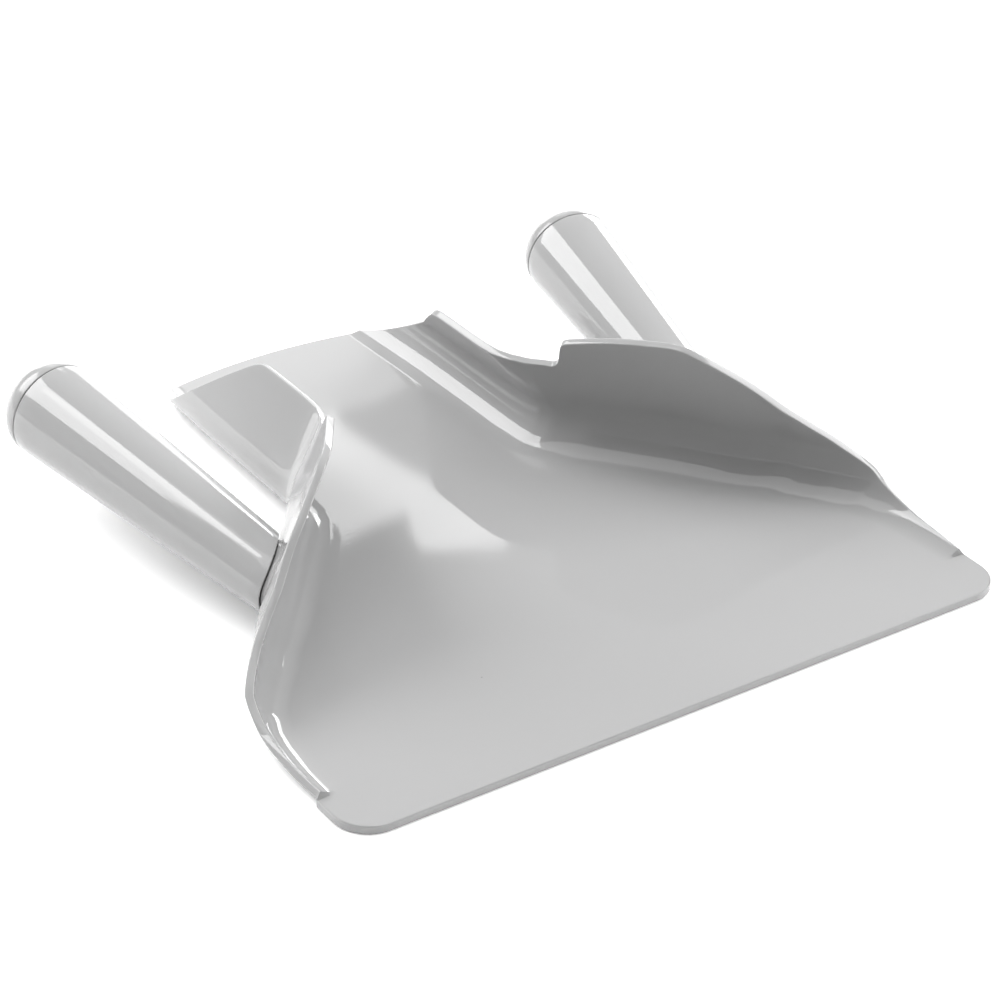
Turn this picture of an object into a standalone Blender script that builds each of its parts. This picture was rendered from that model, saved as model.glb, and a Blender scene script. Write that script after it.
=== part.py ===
"""Two-handled chip scoop: a moulded pan that funnels into a bagging chute.

The scoop is five moulded plastic pieces: the body (pan, side walls and chute in one
shell, with a socket boss on each side), two hollow tapered handle tubes that push onto
the body's spigots, and a domed cap plugged into the free end of each tube.

Frame: X to the right, Y from the front lip to the chute mouth, Z up, metres.
The origin is under the centre of the bounding box, on the resting plane.
"""
import math

import bmesh
import bpy
import numpy as np
from mathutils import Vector
from mathutils.bvhtree import BVHTree

MM = 0.001

# Overall size of the body
PAN_HALF_WIDTH = 115.0 * MM
SIDE_LENGTH = 244.5 * MM          # lip to the rear corners of the chute floor
MOUTH_BULGE = 4.5 * MM            # how far the chute floor bows out past its corners
LIP_CORNER_RADIUS = 12.0 * MM
WALL = 2.5 * MM
NOTCH_Y = 20.0 * MM               # where the side walls start, behind the lip
LIP_EDGE_STRIP = 9.0 * MM         # width of the outermost floor strip ahead of the side walls
BOW_HALF_WIDTH = 38.4 * MM        # half width over which the chute floor bows out
BOW_START = 214.0 * MM            # distance behind the lip from which the rows bow
CENTRE_Y = (SIDE_LENGTH + MOUTH_BULGE) / 2

# Plan line of the foot of the side wall: distance behind the lip, half width
FOOT_LINE = [(20, 120.0), (30, 119.7), (42, 118.4), (50, 116.8), (57, 114.9), (64, 114.4), (70, 113.9),
             (76, 112.0), (80, 109.9), (86, 105.4), (92, 99.8), (97.5, 94.8), (110, 86.0), (132, 69.2),
             (139, 63.7), (146, 58.7), (150, 58.0), (156, 58.4), (165, 58.6), (200, 58.4), (244.5, 56.8)]
# Lean of the wall: sideways shift for each unit of height, outward positive
LEAN_LINE = [(20, 0.05), (42, 0.05), (54, 0.02), (60.5, -0.07), (64, -0.2), (70, -0.4), (76, -0.52),
             (80, -0.56), (86, -0.54), (97.5, -0.52), (110, -0.55), (139, -0.55), (146, -0.57),
             (150, -0.61), (156, -0.67), (165, -0.69), (244.5, -0.69)]
# Height of the wall's outer edge above the resting plane
RIM_LINE = [(20.6, 2.6), (30, 3.2), (40, 4.2), (50, 6.6), (57, 10.2), (65, 17), (72, 24), (96, 51),
            (99.5, 53.6), (103, 54.2), (129.5, 49.0), (131.5, 48.0), (136.5, 38.6), (138.5, 37.4),
            (186, 37.2), (190, 36.3), (193, 34.4), (241, 2.4), (244.5, 1.2)]
# Outer radius of the turn between the floor and the wall
TURN_LINE = [(20, 14.0), (60, 14.0), (86, 15.3), (132, 15.5), (139, 15.0), (146, 13.6), (156, 13.0),
             (244.5, 13.0)]

# Handles: a tapered tube on a straight axis, seen on the right-hand side
HANDLE_END = Vector((97.4, 205.8, 31.7)) * MM       # centre of the tube's free end
HANDLE_AXIS = Vector((-0.170, -0.978, -0.124)).normalized()
HANDLE_END_RADIUS = 15.65 * MM
HANDLE_TAPER = 0.0465             # radius lost for each unit of length toward the body
TUBE_WALL = 2.4 * MM
FOOT_DISTANCE = 114.0 * MM        # free end to about where the tube stops
COLLAR_HEIGHT = 1.3 * MM          # visible neck between the wall and the tube
NECK_STEP = 0.7 * MM              # how much smaller than the tube the neck is
SPIGOT_LENGTH = 30.0 * MM
SPIGOT_WALL = 2.0 * MM
SPIGOT_FLOOR = 9.0 * MM           # solid root between the wall and the spigot's hollow
FIT_GAP = 0.3 * MM
FOOT_GAP = 0.5 * MM               # between the neck's shoulder and the tube's foot
SHELL_SEARCH = 60.0 * MM          # distance from the free end at which the search for the wall starts

# End caps
DOME_HEIGHT = 12.2 * MM
CAP_WALL = 2.2 * MM
PLUG_LENGTH = 9.0 * MM

# Mesh fineness
FLOOR_COLUMNS = 4
ARC_STEPS = 24
TURN_SHARE = 0.7                  # most of a side profile's length that the turn's columns take
TURN_COLUMNS = 5
WALL_COLUMNS = 3
TUBE_PARTS = 5
ROUND_SEGMENTS = 40
DOME_RINGS = 7

BODY_STATIONS = [0, 0.9, 3, 6, 9.5, 14, 20, 20.6, 28, 36, 42, 46, 50, 54, 58, 62, 66, 70, 74, 79,
                 84, 89, 94, 97, 100, 103, 110, 118, 125, 129.5, 131.5, 136.5, 138.5, 142, 146, 151,
                 157, 168, 179, 186, 190, 193, 203, 214, 225, 234, 241, 244.5]


def smooth_curve(points, where):
    """Monotone cubic through the points, so flats stay flat and bends stay round."""
    xs = np.array([p[0] for p in points], float)
    ys = np.array([p[1] for p in points], float)
    steps = np.diff(xs)
    slopes = np.diff(ys) / steps
    tangents = np.zeros_like(xs)
    tangents[0] = slopes[0]
    tangents[-1] = slopes[-1]
    for i in range(1, len(xs) - 1):
        if slopes[i - 1] * slopes[i] > 0:
            w1 = 2 * steps[i] + steps[i - 1]
            w2 = steps[i] + 2 * steps[i - 1]
            tangents[i] = (w1 + w2) / (w1 / slopes[i - 1] + w2 / slopes[i])
    i = int(np.clip(np.searchsorted(xs, where) - 1, 0, len(xs) - 2))
    t = min(max((where - xs[i]) / steps[i], 0.0), 1.0)
    h00 = (1 + 2 * t) * (1 - t) ** 2
    h10 = t * (1 - t) ** 2
    h01 = t * t * (3 - 2 * t)
    h11 = t * t * (t - 1)
    return h00 * ys[i] + h10 * steps[i] * tangents[i] + h01 * ys[i + 1] + h11 * steps[i] * tangents[i + 1]


def clear_scene():
    for old in list(bpy.data.objects):
        bpy.data.objects.remove(old, do_unlink=True)


def plastic(name, colour, roughness):
    material = bpy.data.materials.new(name)
    material.use_nodes = True
    shader = material.node_tree.nodes["Principled BSDF"]
    shader.inputs["Base Color"].default_value = (*colour, 1.0)
    shader.inputs["Roughness"].default_value = roughness
    shader.inputs["Metallic"].default_value = 0.0
    return material


def add_object(name, bm, material):
    bmesh.ops.recalc_face_normals(bm, faces=bm.faces)
    mesh = bpy.data.meshes.new(name)
    bm.to_mesh(mesh)
    bm.free()
    mesh.materials.append(material)
    mesh.shade_smooth()
    mesh.set_sharp_from_angle(angle=math.radians(30))
    obj = bpy.data.objects.new(name, mesh)
    bpy.context.collection.objects.link(obj)
    return obj


# ---------------------------------------------------------------- body shell

def side_profile(y_mm):
    """Outer profile of one side in mm: floor edge, turn and wall, as a dense polyline."""
    if y_mm <= NOTCH_Y / MM:
        radius = LIP_CORNER_RADIUS / MM
        inset = radius - y_mm
        edge = PAN_HALF_WIDTH / MM
        if inset > 0:
            edge += math.sqrt(radius ** 2 - inset ** 2) - radius
        flat_end = edge - LIP_EDGE_STRIP / MM
        return flat_end, [(flat_end, 0.0), (edge, 0.0)]
    foot = smooth_curve(FOOT_LINE, y_mm)
    lean = smooth_curve(LEAN_LINE, y_mm)
    rim = smooth_curve(RIM_LINE, y_mm)
    turn = smooth_curve(TURN_LINE, y_mm)
    corner = math.pi / 2 + math.atan(lean)
    tangent = turn / math.tan(corner / 2)
    sweep = math.pi - corner
    limit = math.acos(max(-1.0, 1.0 - rim / turn))
    points = []
    for step in range(ARC_STEPS + 1):
        angle = min(sweep, limit) * step / ARC_STEPS
        points.append((foot - tangent + turn * math.sin(angle), turn * (1 - math.cos(angle))))
    if sweep < limit:
        points.append((foot + lean * rim, rim))
    return foot - tangent, points


def split_profile(points):
    """Points along the turn and the wall, closer together around the turn."""
    path = np.array(points)
    run = np.concatenate([[0.0], np.cumsum(np.hypot(*np.diff(path, axis=0).T))])
    turn_run = run[-2] if len(points) > ARC_STEPS + 1 else run[-1]
    turn_run = min(turn_run, TURN_SHARE * run[-1])
    marks = list(np.linspace(0, turn_run, TURN_COLUMNS + 1))
    marks += list(np.linspace(turn_run, run[-1], WALL_COLUMNS + 1))[1:]
    return [(np.interp(m, run, path[:, 0]), np.interp(m, run, path[:, 1])) for m in marks]


def half_section(y_mm):
    """Outer points from the centre line out to the rim, (x, y, z) in metres."""
    flat_end, points = side_profile(y_mm)
    side = split_profile(points)
    row = [(flat_end * i / FLOOR_COLUMNS, 0.0) for i in range(FLOOR_COLUMNS)] + side
    reach = max(0.0, (y_mm * MM - BOW_START) / (SIDE_LENGTH - BOW_START))
    out = []
    for x, z in row:
        bow = MOUTH_BULGE * reach * max(0.0, 1 - (x * MM / BOW_HALF_WIDTH) ** 2)
        out.append((x * MM, y_mm * MM - CENTRE_Y + bow, z * MM))
    return out


def shell_grids():
    """Outer and inner grids of the body shell, rows along Y and columns across."""
    rows = []
    for y_mm in BODY_STATIONS:
        half = half_section(y_mm)
        left = [(-x, y, z) for x, y, z in reversed(half[1:])]
        rows.append(left + half)
    outer = np.array(rows)
    along = np.gradient(outer, axis=0)
    across = np.gradient(outer, axis=1)
    normals = np.cross(across, along)
    normals /= np.linalg.norm(normals, axis=2, keepdims=True)
    return outer, outer + normals * WALL


def body_shell():
    outer, inner = shell_grids()
    rows, columns = outer.shape[:2]
    bm = bmesh.new()
    low = [[bm.verts.new(p) for p in row] for row in outer]
    top = [[bm.verts.new(p) for p in row] for row in inner]
    for i in range(rows - 1):
        for j in range(columns - 1):
            bm.faces.new((low[i][j], low[i + 1][j], low[i + 1][j + 1], low[i][j + 1]))
            bm.faces.new((top[i][j], top[i][j + 1], top[i + 1][j + 1], top[i + 1][j]))
    for i in range(rows - 1):
        bm.faces.new((low[i][0], top[i][0], top[i + 1][0], low[i + 1][0]))
        bm.faces.new((low[i][-1], low[i + 1][-1], top[i + 1][-1], top[i][-1]))
    for j in range(columns - 1):
        bm.faces.new((low[0][j], low[0][j + 1], top[0][j + 1], top[0][j]))
        bm.faces.new((low[-1][j], top[-1][j], top[-1][j + 1], low[-1][j + 1]))
    return bm


# ---------------------------------------------------------------- handles

def mirrored(vector, side):
    return Vector((vector.x * side, vector.y, vector.z))


def handle_frame(side):
    """Free-end centre, axis toward the body, and two cross directions."""
    end = mirrored(HANDLE_END, side) - Vector((0, CENTRE_Y, 0))
    axis = mirrored(HANDLE_AXIS, side)
    across = axis.cross(Vector((0, 0, 1))).normalized()
    return end, axis, across, across.cross(axis)


def tube_radius(distance):
    return HANDLE_END_RADIUS - HANDLE_TAPER * distance


def ring_point(frame, distance, radius, angle):
    end, axis, across, upward = frame
    return end + axis * distance + across * (radius * math.cos(angle)) + upward * (radius * math.sin(angle))


def ring_angles():
    return [2 * math.pi * i / ROUND_SEGMENTS for i in range(ROUND_SEGMENTS)]


def wall_distance(shell, frame, radius, angle):
    """Distance along the axis at which one line of the handle meets the wall."""
    start = ring_point(frame, SHELL_SEARCH, radius, angle)
    return SHELL_SEARCH + shell.ray_cast(start, frame[1])[3]


def wall_slant(shell, frame):
    """Length along the axis for each unit of height above the wall."""
    radius = tube_radius(FOOT_DISTANCE)
    cloud = []
    for angle in ring_angles():
        cloud.append(ring_point(frame, wall_distance(shell, frame, radius, angle), radius, angle))
    cloud = np.array(cloud)
    normal = np.linalg.svd(cloud - cloud.mean(axis=0))[2][2]
    return 1.0 / abs(float(np.dot(normal, np.array(frame[1]))))


def bridge(bm, first, second):
    count = len(first)
    for i in range(count):
        j = (i + 1) % count
        bm.faces.new((first[i], first[j], second[j], second[i]))


def fan(bm, ring, centre):
    hub = bm.verts.new(centre)
    for i in range(len(ring)):
        bm.faces.new((ring[i], ring[(i + 1) % len(ring)], hub))


def ring_at_wall(bm, shell, frame, lift, wall_radius, radius):
    """Ring of the given radius whose points stay one lift away from the wall."""
    verts = []
    for angle in ring_angles():
        distance = wall_distance(shell, frame, wall_radius, angle) - lift
        verts.append(bm.verts.new(ring_point(frame, distance, radius, angle)))
    return verts


def plain_ring(bm, frame, distance, radius):
    return [bm.verts.new(ring_point(frame, distance, radius, a)) for a in ring_angles()]


def socket_boss(shell, frame, slant):
    """Neck on the wall with a hollow spigot that the tube pushes onto."""
    foot_radius = tube_radius(FOOT_DISTANCE)
    neck = foot_radius - NECK_STEP
    spigot = foot_radius - TUBE_WALL - FIT_GAP
    root = -0.5 * WALL * slant
    shoulder = COLLAR_HEIGHT * slant
    nearest = min(wall_distance(shell, frame, neck, a) for a in ring_angles())
    tip = nearest - SPIGOT_LENGTH
    floor_at = nearest - SPIGOT_FLOOR
    bm = bmesh.new()
    roots = ring_at_wall(bm, shell, frame, root, neck, neck)
    middles = ring_at_wall(bm, shell, frame, root, neck / 2, neck / 2)
    bridge(bm, roots, middles)
    fan(bm, middles, ring_point(frame, wall_distance(shell, frame, 0.0, 0.0) - root, 0.0, 0.0))
    necks = ring_at_wall(bm, shell, frame, shoulder, neck, neck)
    bridge(bm, roots, necks)
    steps = ring_at_wall(bm, shell, frame, shoulder, spigot, spigot)
    bridge(bm, necks, steps)
    tips = plain_ring(bm, frame, tip, spigot)
    bridge(bm, steps, tips)
    mouth = plain_ring(bm, frame, tip, spigot - SPIGOT_WALL)
    bridge(bm, tips, mouth)
    floors = plain_ring(bm, frame, floor_at, spigot - SPIGOT_WALL)
    bridge(bm, mouth, floors)
    fan(bm, floors, ring_point(frame, floor_at, 0.0, 0.0))
    bmesh.ops.recalc_face_normals(bm, faces=bm.faces)
    return bm


def handle_tube(shell, frame, slant):
    """Tapered tube, square at its free end and cut along the wall at its foot."""
    lift = (COLLAR_HEIGHT + FOOT_GAP) * slant
    bore_end = HANDLE_END_RADIUS - TUBE_WALL
    bore_foot = tube_radius(FOOT_DISTANCE) - TUBE_WALL
    bm = bmesh.new()
    outside = [[] for part in range(TUBE_PARTS + 1)]
    inside = [[] for part in range(TUBE_PARTS + 1)]
    for angle in ring_angles():
        foot = wall_distance(shell, frame, bore_foot + TUBE_WALL, angle) - lift
        bore_length = wall_distance(shell, frame, bore_foot, angle) - lift
        for part in range(TUBE_PARTS + 1):
            share = part / TUBE_PARTS
            point = ring_point(frame, foot * share, tube_radius(foot * share), angle)
            outside[part].append(bm.verts.new(point))
            bore = bore_end + (bore_foot - bore_end) * share
            point = ring_point(frame, bore_length * share, bore, angle)
            inside[part].append(bm.verts.new(point))
    for part in range(TUBE_PARTS):
        bridge(bm, outside[part], outside[part + 1])
        bridge(bm, inside[part], inside[part + 1])
    bridge(bm, outside[0], inside[0])
    bridge(bm, outside[-1], inside[-1])
    return bm


def end_cap(frame):
    """Domed cap: a turned cup whose plug fits inside the tube."""
    plug = HANDLE_END_RADIUS - TUBE_WALL - FIT_GAP - HANDLE_TAPER * PLUG_LENGTH
    seat = -FIT_GAP
    profile = []
    for k in range(1, DOME_RINGS + 1):
        angle = math.pi / 2 * k / DOME_RINGS
        profile.append((HANDLE_END_RADIUS * math.sin(angle), seat - DOME_HEIGHT * math.cos(angle)))
    profile += [(plug, seat), (plug, PLUG_LENGTH), (plug - CAP_WALL, PLUG_LENGTH), (plug - CAP_WALL, seat)]
    for k in range(DOME_RINGS - 1, 0, -1):
        angle = math.pi / 2 * k / DOME_RINGS
        depth = (DOME_HEIGHT - CAP_WALL) * math.cos(angle)
        profile.append(((plug - CAP_WALL) * math.sin(angle), seat - depth))
    bm = bmesh.new()
    rings = []
    for radius, distance in profile:
        rings.append(plain_ring(bm, frame, distance, radius))
    for first, second in zip(rings, rings[1:]):
        bridge(bm, first, second)
    fan(bm, rings[0], ring_point(frame, seat - DOME_HEIGHT, 0.0, 0.0))
    fan(bm, rings[-1], ring_point(frame, seat - DOME_HEIGHT + CAP_WALL, 0.0, 0.0))
    return bm


def join_boss(body, boss_bm, name):
    mesh = bpy.data.meshes.new(name)
    boss_bm.to_mesh(mesh)
    boss_bm.free()
    cutter = bpy.data.objects.new(name, mesh)
    bpy.context.collection.objects.link(cutter)
    cutter.hide_render = True
    cutter.display_type = "WIRE"
    union = body.modifiers.new(name, "BOOLEAN")
    union.operation = "UNION"
    union.object = cutter


def build():
    clear_scene()
    body_grey = plastic("body_plastic", (0.54, 0.54, 0.545), 0.22)
    handle_grey = plastic("handle_plastic", (0.56, 0.56, 0.565), 0.20)
    cap_grey = plastic("cap_plastic", (0.50, 0.50, 0.505), 0.24)
    shell_bm = body_shell()
    bmesh.ops.recalc_face_normals(shell_bm, faces=shell_bm.faces)
    shell = BVHTree.FromBMesh(shell_bm)
    body = add_object("scoop_body", shell_bm, body_grey)
    for side, label in ((-1, "left"), (1, "right")):
        frame = handle_frame(side)
        slant = wall_slant(shell, frame)
        join_boss(body, socket_boss(shell, frame, slant), f"boss_tool_{label}")
        add_object(f"handle_{label}", handle_tube(shell, frame, slant), handle_grey)
        add_object(f"end_cap_{label}", end_cap(frame), cap_grey)


build()
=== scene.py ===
"""Looks of the two-handled chip scoop: fine moulded surfaces, glossy plastic, studio light.

Every piece is built in the CAD frame: X right, Y from the front lip to the chute mouth,
Z up, metres. Distances "behind the lip" are measured from the body's front edge.
"""
import math

import bmesh
import bpy
import numpy as np
from mathutils import Matrix, Vector
from mathutils.bvhtree import BVHTree


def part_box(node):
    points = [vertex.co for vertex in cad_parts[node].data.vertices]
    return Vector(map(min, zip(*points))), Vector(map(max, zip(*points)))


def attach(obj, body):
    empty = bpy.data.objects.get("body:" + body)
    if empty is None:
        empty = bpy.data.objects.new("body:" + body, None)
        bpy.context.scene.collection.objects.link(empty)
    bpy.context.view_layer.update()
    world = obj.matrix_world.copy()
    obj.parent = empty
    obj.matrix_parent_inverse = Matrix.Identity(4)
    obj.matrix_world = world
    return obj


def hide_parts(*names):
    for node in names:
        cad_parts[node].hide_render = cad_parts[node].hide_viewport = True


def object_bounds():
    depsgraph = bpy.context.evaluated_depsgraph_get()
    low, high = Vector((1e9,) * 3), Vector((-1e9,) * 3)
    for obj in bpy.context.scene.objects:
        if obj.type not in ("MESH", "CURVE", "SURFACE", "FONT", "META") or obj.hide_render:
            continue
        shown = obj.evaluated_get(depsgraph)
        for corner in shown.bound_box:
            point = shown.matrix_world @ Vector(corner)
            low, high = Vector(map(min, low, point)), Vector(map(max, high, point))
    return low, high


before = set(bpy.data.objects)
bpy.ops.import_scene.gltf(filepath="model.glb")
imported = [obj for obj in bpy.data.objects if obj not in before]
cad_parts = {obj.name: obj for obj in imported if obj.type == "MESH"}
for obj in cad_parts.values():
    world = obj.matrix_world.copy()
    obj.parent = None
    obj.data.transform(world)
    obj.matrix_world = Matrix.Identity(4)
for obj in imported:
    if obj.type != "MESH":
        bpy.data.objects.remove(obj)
cad_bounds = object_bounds()

MM = 0.001
LIP_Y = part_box("scoop_body")[0].y

# ------------------------------------------------------------------ body sizes, in mm
PAN_HALF_WIDTH = 115.0
SIDE_LENGTH = 244.5
LIP_CORNER_RADIUS = 12.0
WALL = 2.5
NOTCH_Y = 20.0               # the side walls start here, behind the lip
EDGE_ROUND = 0.45            # radius of every moulded edge
MOUTH_BULGE = 4.5            # how far the chute's rear edge bows out
BOW_HALF_WIDTH = 38.4
BOW_START = 214.0

# Each line is a list of (distance behind the lip, value).
# Foot: where the wall, if it had no bend, would meet the floor, from the centre line.
# Lean: the wall's sideways shift for each unit of height. Rim: its height. Turn: its bend radius.
FOOT_LINE = [(20, 120.0), (30, 119.7), (42, 118.4), (50, 116.8), (57, 114.9), (64, 114.4), (70, 113.9),
             (76, 112.0), (80, 109.9), (86, 105.4), (92, 99.8), (97.5, 94.8), (110, 86.0), (132, 69.2),
             (139, 63.7), (146, 58.7), (150, 58.0), (156, 58.4), (165, 58.6), (200, 58.4), (244.5, 56.8)]
LEAN_LINE = [(20, 0.05), (42, 0.05), (54, 0.02), (60.5, -0.07), (64, -0.2), (70, -0.4), (76, -0.52),
             (80, -0.56), (86, -0.54), (97.5, -0.52), (110, -0.55), (139, -0.55), (146, -0.57),
             (150, -0.61), (156, -0.67), (165, -0.69), (244.5, -0.69)]
RIM_LINE = [(20.6, 2.6), (30, 3.2), (40, 4.2), (50, 6.6), (57, 10.2), (65, 17), (72, 24), (96, 51),
            (99.5, 53.6), (103, 54.2), (129.5, 49.0), (131.5, 48.0), (136.5, 38.6), (138.5, 37.4),
            (186, 37.2), (190, 36.3), (193, 34.4), (241, 2.4), (244.5, 1.2)]
TURN_LINE = [(20, 14.0), (60, 14.0), (86, 15.3), (132, 15.5), (139, 15.0), (146, 13.6), (156, 13.0),
             (244.5, 13.0)]

# How finely the shell is divided
FLOOR_COLUMNS = 10
TURN_COLUMNS = 16
WALL_COLUMNS = 10
TURN_SHARE = 0.62            # most of a side's width that the bend's columns take
FLAT_MARGIN = 9.0            # strip beside the lip's side edges that has the bend's columns
EDGE_STEPS = 4
ARC_STEPS = 48
LIP_CORNER_ROWS = 14
ROW_RUNS = [(13.5, NOTCH_Y, 1.5), (NOTCH_Y, NOTCH_Y + 0.1, 1.0), (20.7, 66, 1.3), (66.2, 67.1, 0.4),
            (68, 128, 1.0), (128, 141, 0.4), (141, 160, 0.9), (160, 184, 2.5), (184, 196, 0.7),
            (196, 243.6, 1.6)]
LAST_FULL_ROW = 243.6
EDGE_REACH = 0.999           # an end row is squeezed a little less than fully, so it keeps its points

# ------------------------------------------------------------------ handle sizes, in mm
HANDLE_END = Vector((97.4, 205.8, 31.7))
HANDLE_AXIS = Vector((-0.170, -0.978, -0.124)).normalized()
HANDLE_END_RADIUS = 15.65
HANDLE_TAPER = 0.0465        # radius lost for each mm toward the body
TUBE_WALL = 2.4
TUBE_EDGE = 0.3
FOOT_DISTANCE = 114.0
FOOT_GAP = 0.35
COLLAR_HEIGHT = 1.3
NECK_STEP = 0.7
NECK_FILLET = 1.0
FILLET_HEIGHT = 0.75         # the fillet's height, for each unit of its width
NECK_EDGE = 0.25
NECK_SINK = 1.2              # how far the neck's root goes into the wall
ROOT_SINK = 0.6              # the same for the fillet's outer edge
SPIGOT_LENGTH = 20.0
FIT_GAP = 0.3
DOME_HEIGHT = 12.2
DOME_FULLNESS = 0.97
CAP_EDGE = 0.3
CAP_WALL = 2.2
PLUG_LENGTH = 9.0
ROUND_SEGMENTS = 128
RING_ANGLES = [2 * math.pi * i / ROUND_SEGMENTS for i in range(ROUND_SEGMENTS)]
RING_WAVES = 9               # waves kept round the ring where a handle's foot follows the wall
SEARCH_START = 60.0          # along the handle, where the search for the wall starts
TUBE_ROWS = 24
BORE_ROWS = 6
FILLET_STEPS = 6
DOME_STEPS = 32
HOLLOW_STEPS = 10

# ------------------------------------------------------------------ camera and light, in metres
VIEW_AZIMUTH = math.radians(-33.645)
VIEW_ELEVATION = math.radians(30.917)
CAMERA_PLACE = Vector((-0.4786, -0.7410, 0.5358))
CAMERA_LENS = 119.29
CAMERA_SENSOR = 36.0
CAMERA_NEAR = 0.05
CAMERA_FAR = 50.0

# Places are (right, forward, up) from the scoop's middle, as the camera sees it.
KEY_PLACE = (-0.935, 0.406, 0.844)
KEY_ALONG = (-0.023, 0.299, -0.168)
KEY_SIZE = (0.76, 1.0)
KEY_LIGHT = 6.5
TOP_PLACE = (-0.3, -0.45, 1.65)
TOP_SIZE = (1.9, 1.9)
TOP_LIGHT = 1.7
RIGHT_PLACE = (1.35, 0.30, 0.75)
RIGHT_SIZE = (0.9, 1.3)
RIGHT_LIGHT = 6.0
BACKDROP_EDGES = (-1.2, 2.4, 0.0, 0.86)
BACKDROP_DISTANCE = 2.6
BACKDROP_LIGHT = 2.6
RIM_EDGES = (0.45, 1.30, 0.42, 0.86)
RIM_DISTANCE = 2.4
RIM_LIGHT = 5.0
WINDOW_LIGHT = 3.8
WINDOW_LOW_LIGHT = 1.9
WINDOW_DISTANCE = 2.25
WINDOW_HIGH = [(-0.75, 1.42), (-0.185, 1.41), (-0.13, 1.38), (-0.092, 1.362), (-0.084, 1.395),
               (-0.074, 1.411), (0.02, 1.406), (0.02, 1.33), (-0.057, 1.331), (-0.07, 1.315),
               (-0.11, 1.29), (-0.16, 1.25), (-0.165, 1.235), (-0.75, 1.235)]
WINDOW_LOW = [(-0.75, 1.235), (-0.165, 1.235), (-0.155, 1.231), (-0.12, 1.222), (-0.086, 1.20),
              (-0.06, 1.17), (-0.06, 1.0), (-0.75, 1.0)]
ROOM_FACING = (0.15, 1.0, 0.0)
ROOM_LIGHT = 0.5
ROOM_DIM = 0.02
ROOM_DIM_UNTIL = -0.55       # cosines from the room's bright side, where its light starts and ends rising
ROOM_BRIGHT_FROM = 0.25
TABLE_GLOW = 0.14
TABLE_GREY = 0.93
FLOOR_HALF = 6.0
FLOOR_DROP = 0.0002


def smooth_curve(points, where):
    """Monotone cubic through the points, for one value or an array."""
    xs = np.array([p[0] for p in points], float)
    ys = np.array([p[1] for p in points], float)
    steps = np.diff(xs)
    slopes = np.diff(ys) / steps
    tangents = np.zeros_like(xs)
    tangents[0] = slopes[0]
    tangents[-1] = slopes[-1]
    for i in range(1, len(xs) - 1):
        if slopes[i - 1] * slopes[i] > 0:
            w1 = 2 * steps[i] + steps[i - 1]
            w2 = steps[i] + 2 * steps[i - 1]
            tangents[i] = (w1 + w2) / (w1 / slopes[i - 1] + w2 / slopes[i])
    i = int(np.clip(np.searchsorted(xs, where) - 1, 0, len(xs) - 2))
    t = min(max((where - xs[i]) / steps[i], 0.0), 1.0)
    h00 = (1 + 2 * t) * (1 - t) ** 2
    h10 = t * (1 - t) ** 2
    h01 = t * t * (3 - 2 * t)
    h11 = t * t * (t - 1)
    return h00 * ys[i] + h10 * steps[i] * tangents[i] + h01 * ys[i + 1] + h11 * steps[i] * tangents[i + 1]


def quarter_turn(steps):
    """Sine and cosine at even steps through a quarter turn."""
    angles = [math.pi / 2 * k / steps for k in range(steps + 1)]
    return [(math.sin(angle), math.cos(angle)) for angle in angles]


# ------------------------------------------------------------------ mesh helpers

def finish_mesh(name, verts, faces, material, nodes, smooth_angle=40.0):
    """Closed mesh in metres from points in mm (lip-based), riding on the one body."""
    mesh = bpy.data.meshes.new(name)
    mesh.from_pydata([tuple(v) for v in verts], [], faces)
    bm = bmesh.new()
    bm.from_mesh(mesh)
    bmesh.ops.remove_doubles(bm, verts=bm.verts, dist=1e-7)
    bmesh.ops.dissolve_degenerate(bm, dist=1e-7, edges=bm.edges)
    bmesh.ops.recalc_face_normals(bm, faces=bm.faces)
    bm.to_mesh(mesh)
    bm.free()
    mesh.materials.append(material)
    mesh.shade_smooth()
    mesh.set_sharp_from_angle(angle=math.radians(smooth_angle))
    obj = bpy.data.objects.new(name, mesh)
    bpy.context.scene.collection.objects.link(obj)
    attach(obj, "root")
    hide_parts(*nodes)
    return obj


def to_world(points):
    """Lip-based mm to metres in the CAD frame."""
    out = np.array(points, float) * MM
    out[..., 1] += LIP_Y
    return out


# ------------------------------------------------------------------ the body shell

def lip_half_width(y):
    """Half width of the flat pan at a distance behind the lip, with its rounded corners."""
    inset = max(0.0, LIP_CORNER_RADIUS - y)
    return PAN_HALF_WIDTH - LIP_CORNER_RADIUS + math.sqrt(LIP_CORNER_RADIUS ** 2 - inset ** 2)


def side_profile(y):
    """Where the floor's flat ends, the side's outer (x, z) points in mm, and the bend's share."""
    if y <= NOTCH_Y:
        edge = lip_half_width(y)
        return edge - FLAT_MARGIN, [(edge - FLAT_MARGIN, 0.0), (edge, 0.0)], 1.0
    foot = smooth_curve(FOOT_LINE, y)
    lean = smooth_curve(LEAN_LINE, y)
    rim = smooth_curve(RIM_LINE, y)
    turn = smooth_curve(TURN_LINE, y)
    corner = math.pi / 2 + math.atan(lean)
    tangent = turn / math.tan(corner / 2)
    sweep = math.pi - corner
    limit = math.acos(max(-1.0, 1.0 - rim / turn))
    points = []
    for step in range(ARC_STEPS + 1):
        angle = min(sweep, limit) * step / ARC_STEPS
        points.append((foot - tangent + turn * math.sin(angle), turn * (1 - math.cos(angle))))
    share = 1.0
    if sweep < limit:
        bend = sweep * turn
        top = (foot + lean * rim, rim)
        straight = math.hypot(top[0] - points[-1][0], top[1] - points[-1][1])
        points.append(top)
        share = bend / (bend + straight)
    return foot - tangent, points, share


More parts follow.
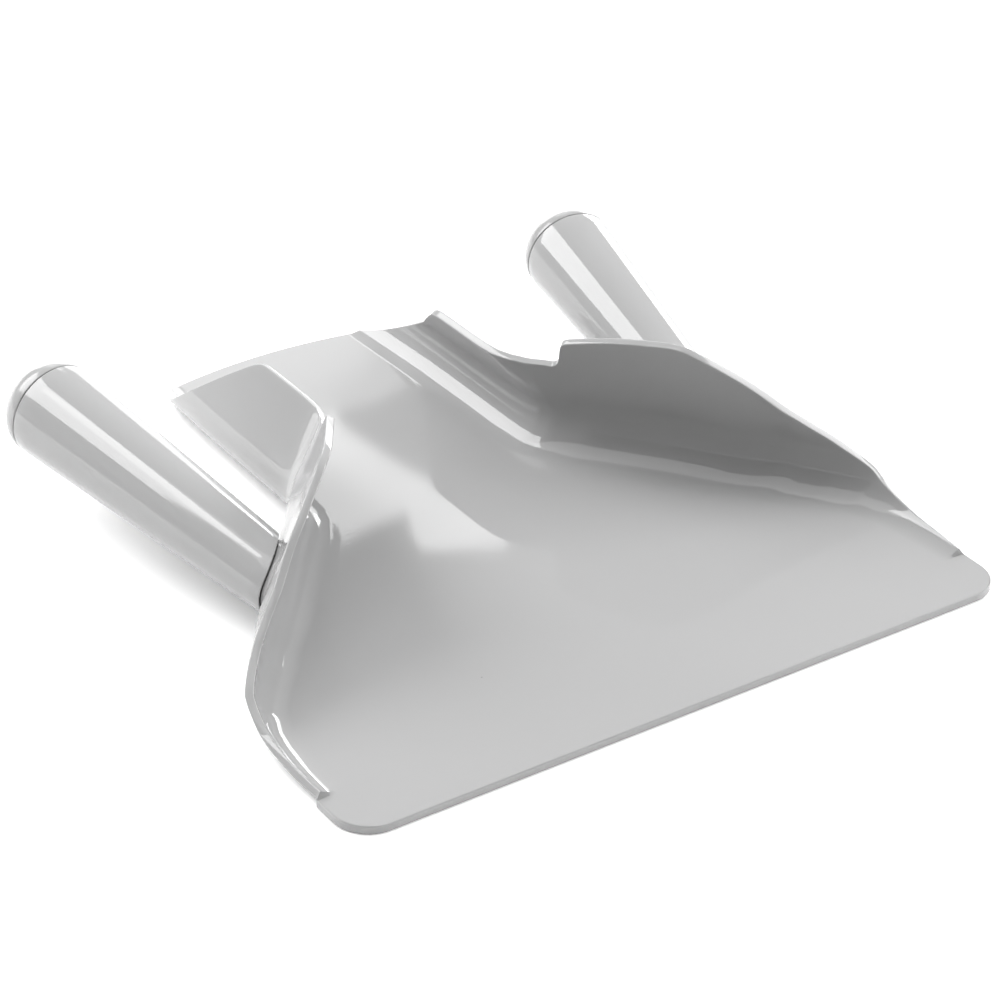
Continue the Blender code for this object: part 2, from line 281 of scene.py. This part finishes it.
def profile_columns(y):
    """Outer half profile, centre line first, with a fixed number of columns."""
    flat_end, points, share = side_profile(y)
    path = np.array(points)
    run = np.concatenate([[0.0], np.cumsum(np.hypot(*np.diff(path, axis=0).T))])
    split = min(share, TURN_SHARE) * run[-1]
    marks = list(np.linspace(0, split, TURN_COLUMNS + 1))
    marks += list(np.linspace(split, run[-1], WALL_COLUMNS + 1))[1:]
    floor = [(flat_end * i / FLOOR_COLUMNS, 0.0) for i in range(FLOOR_COLUMNS)]
    return floor + [(np.interp(m, run, path[:, 0]), np.interp(m, run, path[:, 1])) for m in marks]


def station_rows():
    """Distances behind the lip at which the shell has a row."""
    rows = [LIP_CORNER_RADIUS * (1 - cosine) for sine, cosine in quarter_turn(LIP_CORNER_ROWS)[1:]]
    for start, stop, step in ROW_RUNS:
        rows += list(np.arange(start, stop, step))
    return rows + [LAST_FULL_ROW, SIDE_LENGTH - EDGE_ROUND]


def shell_row(y):
    """Outer points of one row, from the left rim to the right rim, bowed toward the mouth."""
    reach = max(0.0, (y - BOW_START) / (SIDE_LENGTH - BOW_START))
    right = []
    for x, z in profile_columns(y):
        bow = MOUTH_BULGE * reach * max(0.0, 1 - (x / BOW_HALF_WIDTH) ** 2)
        right.append((x, y + bow, z))
    left = [(-x, y_bowed, z) for x, y_bowed, z in reversed(right[1:])]
    return left + right


def shell_rows():
    """Distances, outer points and unit normals into the plastic of every row, all in mm."""
    ys = np.array(station_rows())
    outer = np.array([shell_row(y) for y in ys])
    normals = np.zeros_like(outer)
    flat = ys <= NOTCH_Y
    normals[flat] = (0, 0, 1)
    block = outer[~flat]
    normal = np.cross(np.gradient(block, axis=1), np.gradient(block, axis=0))
    normals[~flat] = normal / np.linalg.norm(normal, axis=2, keepdims=True)
    return ys, outer, normals


def rim_points(edge, neighbour, normal, squeeze):
    """Rounded rim of one row, from the shell's outside to its inside."""
    outward = edge - neighbour
    outward = outward - normal * np.dot(outward, normal)
    outward /= np.linalg.norm(outward)
    start = edge - outward * EDGE_ROUND
    radius = EDGE_ROUND - squeeze
    turns = quarter_turn(EDGE_STEPS)
    points = []
    for sine, cosine in turns:
        points.append(start + outward * sine * radius + normal * (squeeze + (1 - cosine) * radius))
    for sine, cosine in reversed(turns):
        points.append(start + outward * sine * radius + normal * (WALL - squeeze - (1 - cosine) * radius))
    return points


def row_loop(outer, normals, squeeze):
    """One closed loop round the shell's section: outside, right rim, inside, left rim."""
    low = outer + normals * squeeze
    top = outer + normals * (WALL - squeeze)
    right = rim_points(outer[-1], outer[-2], normals[-1], squeeze)
    left = rim_points(outer[0], outer[1], normals[0], squeeze)
    return list(low[1:-1]) + right + list(top[1:-1][::-1]) + left[::-1]


def lip_loops(first, normals):
    """Loops of the rounded front edge, from its foremost line back."""
    loops = []
    for sine, cosine in quarter_turn(EDGE_STEPS):
        y = EDGE_ROUND * (1 - cosine)
        row = first.copy()
        row[:, 1] = y
        row[:, 0] *= lip_half_width(y) / first[-1, 0]
        loops.append(row_loop(row, normals, EDGE_ROUND * (1 - sine) * EDGE_REACH))
    return loops


def mouth_loops(last, before, normals):
    """Loops of the rounded rear edge, carried on from the last two rows."""
    onward = last - before
    onward /= np.linalg.norm(onward, axis=1, keepdims=True)
    loops = []
    for sine, cosine in quarter_turn(EDGE_STEPS)[1:]:
        row = last + onward * EDGE_ROUND * sine
        loops.append(row_loop(row, normals, EDGE_ROUND * (1 - cosine) * EDGE_REACH))
    return loops


def end_faces(base, columns):
    """Faces that close the shell at the front or rear, from a loop's first vertex on."""
    rim = 2 * (EDGE_STEPS + 1)
    inside = [base + columns + rim + (columns - 1 - j) for j in range(columns)]
    faces = []
    for j in range(columns - 1):
        faces.append((base + j, base + j + 1, inside[j + 1], inside[j]))
    right_rim = [base + columns + r for r in range(rim)]
    left_rim = [base + columns + rim + columns + r for r in range(rim)]
    faces.append(tuple([base + columns - 1] + right_rim + [inside[-1]]))
    faces.append(tuple([inside[0]] + left_rim + [base]))
    return faces


def build_shell(material):
    """Pan, side walls and chute as one closed shell of even thickness."""
    ys, outer, normals = shell_rows()
    loops = lip_loops(outer[0], normals[0])
    for y, row, row_normals in zip(ys, outer, normals):
        if y > EDGE_ROUND * 1.2:
            loops.append(row_loop(row, row_normals, 0.0))
    loops += mouth_loops(outer[-1], outer[-2], normals[-1])
    count = len(loops[0])
    faces = []
    for i in range(len(loops) - 1):
        here = i * count
        for j in range(count):
            k = (j + 1) % count
            faces.append((here + j, here + k, here + count + k, here + count + j))
    columns = outer.shape[1] - 2
    faces += end_faces(0, columns)
    faces += end_faces((len(loops) - 1) * count, columns)
    verts = to_world(np.array(loops).reshape(-1, 3))
    return finish_mesh("scoop_shell", verts, faces, material, ["scoop_body"])


# ------------------------------------------------------------------ handles

def handle_frame(side):
    """Free-end centre, axis toward the body and two cross directions, in lip-based mm."""
    end = Vector((HANDLE_END.x * side, HANDLE_END.y, HANDLE_END.z))
    axis = Vector((HANDLE_AXIS.x * side, HANDLE_AXIS.y, HANDLE_AXIS.z))
    across = axis.cross(Vector((0, 0, 1))).normalized()
    return end, axis, across, across.cross(axis)


def tube_radius(distance):
    """Outer radius of the grip at a distance from its free end."""
    return HANDLE_END_RADIUS - HANDLE_TAPER * distance


def ring_point(place, distance, radius, angle):
    """Point round a handle's axis, at a distance from its free end."""
    end, axis, across, upward = place
    return end + axis * distance + across * (radius * math.cos(angle)) + upward * (radius * math.sin(angle))


def ring(place, radius, distance):
    """Ring of points; radius and distance are one number or one for each angle."""
    radii = np.broadcast_to(radius, ROUND_SEGMENTS)
    distances = np.broadcast_to(distance, ROUND_SEGMENTS)
    return [ring_point(place, float(d), float(r), a) for r, d, a in zip(radii, distances, RING_ANGLES)]


def wall_distances(shell, place, radius):
    """For each ring angle, the distance along the axis to the wall, smoothed round the ring."""
    out = []
    for start in ring(place, radius, SEARCH_START):
        world = Vector((start.x * MM, start.y * MM + LIP_Y, start.z * MM))
        hit = shell.ray_cast(world, place[1])
        out.append(SEARCH_START + hit[3] / MM)
    spectrum = np.fft.rfft(np.array(out))
    spectrum[RING_WAVES:] = 0
    return np.fft.irfft(spectrum, ROUND_SEGMENTS)


def wall_slant(shell, place):
    """Length along the axis for each mm of height above the wall."""
    radius = tube_radius(FOOT_DISTANCE)
    cloud = np.array(ring(place, radius, wall_distances(shell, place, radius)))
    normal = np.linalg.svd(cloud - cloud.mean(axis=0))[2][2]
    return 1.0 / abs(float(np.dot(normal, np.array(place[1]))))


def turned(rings, hubs):
    """Verts and faces of a stack of rings, closed by two hubs, or into a torus without hubs."""
    verts = [point for points in rings for point in points]
    faces = []
    count = ROUND_SEGMENTS
    for i in range(len(rings) - 1 if hubs else len(rings)):
        a = i * count
        b = ((i + 1) % len(rings)) * count
        for j in range(count):
            k = (j + 1) % count
            faces.append((a + j, a + k, b + k, b + j))
    for hub, base in zip(hubs, (0, (len(rings) - 1) * count)):
        verts.append(hub)
        for j in range(count):
            faces.append((base + j, base + (j + 1) % count, len(verts) - 1))
    return verts, faces


def build_tube(shell, side, label, material):
    """Hollow tapered grip: square free end, foot cut along the wall, rounded edges."""
    place = handle_frame(side)
    lift = (COLLAR_HEIGHT + FOOT_GAP) * wall_slant(shell, place)
    foot_radius = tube_radius(FOOT_DISTANCE)
    foot = wall_distances(shell, place, foot_radius) - lift
    bore_foot = wall_distances(shell, place, foot_radius - TUBE_WALL) - lift
    rings = []
    for sine, cosine in quarter_turn(EDGE_STEPS):
        rings.append(ring(place, HANDLE_END_RADIUS - TUBE_EDGE * (1 - sine), TUBE_EDGE * (1 - cosine)))
    for part in range(1, TUBE_ROWS):
        share = part / TUBE_ROWS
        rings.append(ring(place, tube_radius(foot * share), TUBE_EDGE + (foot - 2 * TUBE_EDGE) * share))
    for sine, cosine in quarter_turn(EDGE_STEPS):
        rings.append(ring(place, tube_radius(foot) - TUBE_EDGE * (1 - cosine), foot - TUBE_EDGE * (1 - sine)))
    bore_end = HANDLE_END_RADIUS - TUBE_WALL
    bore_change = foot_radius - TUBE_WALL - bore_end
    for part in range(BORE_ROWS, -1, -1):
        share = part / BORE_ROWS
        rings.append(ring(place, bore_end + bore_change * share, bore_foot * share))
    verts, faces = turned(rings, [])
    return finish_mesh(f"grip_tube_{label}", to_world(verts), faces, material,
                       [f"handle_{label}"])


def build_neck(shell, side, label, material):
    """Moulded neck between wall and grip, with a fillet at its root and a hidden spigot."""
    place = handle_frame(side)
    slant = wall_slant(shell, place)
    neck = tube_radius(FOOT_DISTANCE) - NECK_STEP
    spigot = tube_radius(FOOT_DISTANCE) - TUBE_WALL - FIT_GAP
    wide = wall_distances(shell, place, neck + NECK_FILLET)
    tight = wall_distances(shell, place, neck)
    rings = [ring(place, neck, tight + NECK_SINK), ring(place, neck + NECK_FILLET, wide + ROOT_SINK)]
    for sine, cosine in quarter_turn(FILLET_STEPS):
        height = NECK_FILLET * slant * FILLET_HEIGHT * (1 - cosine)
        rings.append(ring(place, neck + NECK_FILLET * (1 - sine), tight * sine + wide * (1 - sine) - height))
    shoulder = COLLAR_HEIGHT * slant
    for sine, cosine in quarter_turn(EDGE_STEPS):
        rings.append(ring(place, neck - NECK_EDGE * (1 - cosine), tight - shoulder + NECK_EDGE * (1 - sine)))
    rings.append(ring(place, spigot, wall_distances(shell, place, spigot) - shoulder))
    tip = min(tight) - SPIGOT_LENGTH
    rings.append(ring(place, spigot, tip))
    root_hub = ring_point(place, float(np.mean(tight)) + NECK_SINK, 0.0, 0.0)
    tip_hub = ring_point(place, tip, 0.0, 0.0)
    verts, faces = turned(rings, [root_hub, tip_hub])
    return finish_mesh(f"grip_neck_{label}", to_world(verts), faces, material,
                       ["scoop_body"])


def cap_profile():
    """The cap's (radius, distance) points: outer dome, seam edge, plug, and hollow."""
    plug = HANDLE_END_RADIUS - TUBE_WALL - FIT_GAP - HANDLE_TAPER * PLUG_LENGTH
    bore = plug - CAP_WALL
    seat = -FIT_GAP
    profile = []
    for sine, cosine in quarter_turn(DOME_STEPS)[1:]:
        height = DOME_HEIGHT * max(0.0, cosine) ** DOME_FULLNESS
        outward = height * (DOME_HEIGHT - CAP_EDGE) / DOME_HEIGHT
        profile.append((HANDLE_END_RADIUS * sine, seat - CAP_EDGE - outward))
    for sine, cosine in quarter_turn(EDGE_STEPS)[1:]:
        profile.append((HANDLE_END_RADIUS - CAP_EDGE * (1 - cosine), seat - CAP_EDGE * (1 - sine)))
    profile += [(plug, seat), (plug, PLUG_LENGTH), (bore, PLUG_LENGTH), (bore, seat)]
    for sine, cosine in quarter_turn(HOLLOW_STEPS)[-2:0:-1]:
        profile.append((bore * sine, seat - (DOME_HEIGHT - CAP_WALL) * cosine))
    return profile


def build_cap(side, label, material):
    """Domed end cap with the plug that sits inside the tube."""
    place = handle_frame(side)
    rings = [ring(place, radius, distance) for radius, distance in cap_profile()]
    dome_hub = ring_point(place, -FIT_GAP - DOME_HEIGHT, 0.0, 0.0)
    hollow_hub = ring_point(place, -FIT_GAP - DOME_HEIGHT + CAP_WALL, 0.0, 0.0)
    verts, faces = turned(rings, [dome_hub, hollow_hub])
    return finish_mesh(f"grip_cap_{label}", to_world(verts), faces, material,
                       [f"end_cap_{label}"])


# ------------------------------------------------------------------ materials

def moved(tree, coords, location=(0.0, 0.0, 0.0), rotation=(0.0, 0.0, 0.0), scale=(1.0, 1.0, 1.0)):
    """Coordinates after a shift, turn and stretch."""
    node = tree.nodes.new("ShaderNodeMapping")
    node.inputs["Location"].default_value = location
    node.inputs["Rotation"].default_value = rotation
    node.inputs["Scale"].default_value = scale
    tree.links.new(coords, node.inputs["Vector"])
    return node.outputs["Vector"]


def noise(tree, coords, scale, detail, roughness=0.5):
    """Noise value at the coordinates."""
    node = tree.nodes.new("ShaderNodeTexNoise")
    node.inputs["Scale"].default_value = scale
    node.inputs["Detail"].default_value = detail
    node.inputs["Roughness"].default_value = roughness
    tree.links.new(coords, node.inputs["Vector"])
    return node.outputs["Fac"]


def ranged(tree, value, from_min, from_max, to_min, to_max):
    """A value carried from one range to another."""
    node = tree.nodes.new("ShaderNodeMapRange")
    node.inputs["From Min"].default_value = from_min
    node.inputs["From Max"].default_value = from_max
    node.inputs["To Min"].default_value = to_min
    node.inputs["To Max"].default_value = to_max
    tree.links.new(value, node.inputs["Value"])
    return node.outputs["Result"]


def combined(tree, operation, first, second):
    """Two values joined by a math operation; the second may be a plain number."""
    node = tree.nodes.new("ShaderNodeMath")
    node.operation = operation
    tree.links.new(first, node.inputs[0])
    if isinstance(second, float):
        node.inputs[1].default_value = second
    else:
        tree.links.new(second, node.inputs[1])
    return node.outputs["Value"]


def bumped(tree, height, strength, distance, below=None):
    """Surface normal pushed by a height, on top of another bump."""
    node = tree.nodes.new("ShaderNodeBump")
    node.inputs["Strength"].default_value = strength
    node.inputs["Distance"].default_value = distance
    tree.links.new(height, node.inputs["Height"])
    if below:
        tree.links.new(below, node.inputs["Normal"])
    return node.outputs["Normal"]


def tone_drift(tree, coords, colour):
    """The plastic's colour, drifting faintly over the piece."""
    ramp = tree.nodes.new("ShaderNodeValToRGB")
    dark, pale = ramp.color_ramp.elements
    dark.position = 0.3
    dark.color = tuple(c * 0.985 for c in colour) + (1.0,)
    pale.position = 0.7
    pale.color = tuple(min(1.0, c * 1.012) for c in colour) + (1.0,)
    tree.links.new(noise(tree, coords, 16.0, 3.0), ramp.inputs["Fac"])
    return ramp.outputs["Color"]


def speckled(tree, coords, tone, colour):
    """A few tiny dark specks in the plastic."""
    cells = tree.nodes.new("ShaderNodeTexVoronoi")
    cells.inputs["Scale"].default_value = 90.0
    tree.links.new(coords, cells.inputs["Vector"])
    near = ranged(tree, cells.outputs["Distance"], 0.035, 0.02, 0.0, 1.0)
    split = tree.nodes.new("ShaderNodeSeparateColor")
    tree.links.new(cells.outputs["Color"], split.inputs["Color"])
    rare = combined(tree, "GREATER_THAN", split.outputs["Red"], 0.965)
    darken = tree.nodes.new("ShaderNodeMix")
    darken.data_type = "RGBA"
    darken.inputs["B"].default_value = tuple(c * 0.55 for c in colour) + (1.0,)
    tree.links.new(combined(tree, "MULTIPLY", near, rare), darken.inputs["Factor"])
    tree.links.new(tone, darken.inputs["A"])
    return darken.outputs["Result"]


def uneven_gloss(tree, place, coords, roughness):
    """Roughness with soft patches and a few hairline scuffs."""
    patches = ranged(tree, noise(tree, coords, 60.0, 5.0), 0.3, 0.7, roughness * 0.85, roughness * 1.2)
    stretch = moved(tree, place, rotation=(0.0, 0.0, 0.6), scale=(9.0, 700.0, 9.0))
    scuffs = ranged(tree, noise(tree, stretch, 1.0, 1.0), 0.74, 0.80, 0.0, 0.16)
    return combined(tree, "ADD", patches, scuffs)


def moulded_surface(tree, coords, wave_height):
    """Slight waviness of a moulding, under a fine grain."""
    waves = bumped(tree, noise(tree, coords, 22.0, 1.5, 0.4), 1.0, wave_height)
    return bumped(tree, noise(tree, coords, 900.0, 2.0), 0.5, 0.000006, waves)


def moulded_plastic(name, colour, roughness, wave_height, seed):
    """Glossy moulded plastic: faint tone drift, specks, uneven gloss and slight waviness."""
    material = bpy.data.materials.new(name)
    material.use_nodes = True
    tree = material.node_tree
    shader = tree.nodes["Principled BSDF"]
    shader.inputs["IOR"].default_value = 1.52
    place = tree.nodes.new("ShaderNodeTexCoord").outputs["Object"]
    coords = moved(tree, place, location=(seed, seed * 0.7, seed * 0.3))
    colours = speckled(tree, coords, tone_drift(tree, coords, colour), colour)
    tree.links.new(colours, shader.inputs["Base Color"])
    tree.links.new(uneven_gloss(tree, place, coords, roughness), shader.inputs["Roughness"])
    tree.links.new(moulded_surface(tree, coords, wave_height), shader.inputs["Normal"])
    return material


# ------------------------------------------------------------------ stage, light, camera

def build_floor():
    """Plain pale table under the scoop."""
    half = FLOOR_HALF
    corners = [(-half, -half, 0), (half, -half, 0), (half, half, 0), (-half, half, 0)]
    mesh = bpy.data.meshes.new("floor")
    mesh.from_pydata(corners, [], [(0, 1, 2, 3)])
    floor = bpy.data.objects.new("floor", mesh)
    floor.location.z = cad_bounds[0][2] - FLOOR_DROP
    bpy.context.scene.collection.objects.link(floor)
    material = bpy.data.materials.new("pale_floor")
    material.use_nodes = True
    shader = material.node_tree.nodes["Principled BSDF"]
    shader.inputs["Base Color"].default_value = (TABLE_GREY, TABLE_GREY, TABLE_GREY, 1.0)
    shader.inputs["Roughness"].default_value = 0.9
    shader.inputs["Specular IOR Level"].default_value = 0.1
    shader.inputs["Emission Color"].default_value = (1.0, 1.0, 1.0, 1.0)
    shader.inputs["Emission Strength"].default_value = TABLE_GLOW
    mesh.materials.append(material)


def studio_point(right, forward, up):
    """A place given from the scoop's middle along the camera's right, its forward and up."""
    side = Vector((math.cos(VIEW_AZIMUTH), math.sin(VIEW_AZIMUTH), 0.0))
    view = Vector((-math.sin(VIEW_AZIMUTH), math.cos(VIEW_AZIMUTH), 0.0))
    return side * right + view * forward + Vector((0.0, 0.0, up))


def softbox(name, centre, facing, along, width, length, radiance):
    """Rectangular area light: its length runs along a direction, its face looks along another."""
    data = bpy.data.lights.new(name, "AREA")
    data.shape = "RECTANGLE"
    data.size = width
    data.size_y = length
    data.energy = radiance * math.pi * width * length
    light = bpy.data.objects.new(name, data)
    bpy.context.scene.collection.objects.link(light)
    z_axis = -facing.normalized()
    y_axis = (along - z_axis * along.dot(z_axis)).normalized()
    x_axis = y_axis.cross(z_axis)
    basis = Matrix((x_axis, y_axis, z_axis)).transposed()
    light.matrix_world = Matrix.Translation(centre) @ basis.to_4x4()
    return light


def wall_panel(name, edges, forward, radiance):
    """Upright panel behind the scoop, with left, right, lower and upper edges."""
    right_from, right_to, low, high = edges
    centre = studio_point((right_from + right_to) / 2, forward, (low + high) / 2)
    softbox(name, centre, studio_point(0, -1, 0), Vector((0, 0, 1)), right_to - right_from,
            high - low, radiance)


def glow_material(name, radiance):
    """Plain glowing surface."""
    material = bpy.data.materials.new(name)
    material.use_nodes = True
    tree = material.node_tree
    tree.nodes.clear()
    glow = tree.nodes.new("ShaderNodeEmission")
    glow.inputs["Strength"].default_value = radiance
    output = tree.nodes.new("ShaderNodeOutputMaterial")
    tree.links.new(glow.outputs["Emission"], output.inputs["Surface"])
    return material


def window_card(name, outline, forward, radiance):
    """Glowing card behind the scoop, outlined by (right, up) corners in metres."""
    mesh = bpy.data.meshes.new(name)
    corners = [tuple(studio_point(r, forward, u)) for r, u in outline]
    mesh.from_pydata(corners, [], [tuple(range(len(corners)))])
    mesh.materials.append(glow_material(name + "_glow", radiance))
    card = bpy.data.objects.new(name, mesh)
    card.visible_camera = False
    bpy.context.scene.collection.objects.link(card)


def build_light():
    """Soft boxes at the left, above and at the right, and lit panels behind the scoop."""
    key = studio_point(*KEY_PLACE)
    softbox("key_left", key, -key, studio_point(*KEY_ALONG), *KEY_SIZE, KEY_LIGHT)
    top = studio_point(*TOP_PLACE)
    softbox("top", top, -top, studio_point(0, 1, 0), *TOP_SIZE, TOP_LIGHT)
    wall_panel("backdrop", BACKDROP_EDGES, BACKDROP_DISTANCE, BACKDROP_LIGHT)
    wall_panel("rim_light", RIM_EDGES, RIM_DISTANCE, RIM_LIGHT)
    window_card("window_high", WINDOW_HIGH, WINDOW_DISTANCE, WINDOW_LIGHT)
    window_card("window_low", WINDOW_LOW, WINDOW_DISTANCE, WINDOW_LOW_LIGHT)
    right = studio_point(*RIGHT_PLACE)
    softbox("fill_right", right, -right, studio_point(0, 1, 0), *RIGHT_SIZE, RIGHT_LIGHT)


def build_room():
    """Soft room light: bright behind and beside the scoop, dim on the camera's side."""
    world = bpy.data.worlds.new("studio")
    bpy.context.scene.world = world
    world.use_nodes = True
    tree = world.node_tree
    direction = tree.nodes.new("ShaderNodeTexCoord").outputs["Generated"]
    facing = tree.nodes.new("ShaderNodeVectorMath")
    facing.operation = "DOT_PRODUCT"
    facing.inputs[1].default_value = studio_point(*ROOM_FACING).normalized()
    tree.links.new(direction, facing.inputs[0])
    level = ranged(tree, facing.outputs["Value"], ROOM_DIM_UNTIL, ROOM_BRIGHT_FROM, ROOM_DIM, ROOM_LIGHT)
    background = tree.nodes["Background"]
    background.inputs["Color"].default_value = (1.0, 1.0, 1.0, 1.0)
    tree.links.new(level, background.inputs["Strength"])


def build_camera():
    """Camera at the photograph's viewing angle."""
    data = bpy.data.cameras.new("camera")
    data.lens = CAMERA_LENS
    data.sensor_width = CAMERA_SENSOR
    data.clip_start = CAMERA_NEAR
    data.clip_end = CAMERA_FAR
    camera = bpy.data.objects.new("camera", data)
    camera.location = CAMERA_PLACE
    camera.rotation_euler = (math.pi / 2 - VIEW_ELEVATION, 0.0, VIEW_AZIMUTH)
    bpy.context.scene.collection.objects.link(camera)
    bpy.context.scene.camera = camera


def build_scoop():
    """The shell, then a neck, a tube and a cap on each side."""
    body_grey = moulded_plastic("body_grey", (0.375, 0.375, 0.376), 0.035, 0.000012, 1.3)
    grip_grey = moulded_plastic("grip_grey", (0.375, 0.375, 0.376), 0.06, 0.00002, 4.1)
    cap_grey = moulded_plastic("cap_grey", (0.36, 0.36, 0.361), 0.16, 0.00002, 7.7)
    shell = build_shell(body_grey)
    bpy.context.view_layer.update()
    tree = BVHTree.FromObject(shell, bpy.context.evaluated_depsgraph_get())
    for side, label in ((-1, "left"), (1, "right")):
        build_neck(tree, side, label, body_grey)
        build_tube(tree, side, label, grip_grey)
        build_cap(side, label, cap_grey)


bpy.context.scene.view_settings.view_transform = "Standard"
build_camera()
build_scoop()
build_floor()
build_light()
build_room()
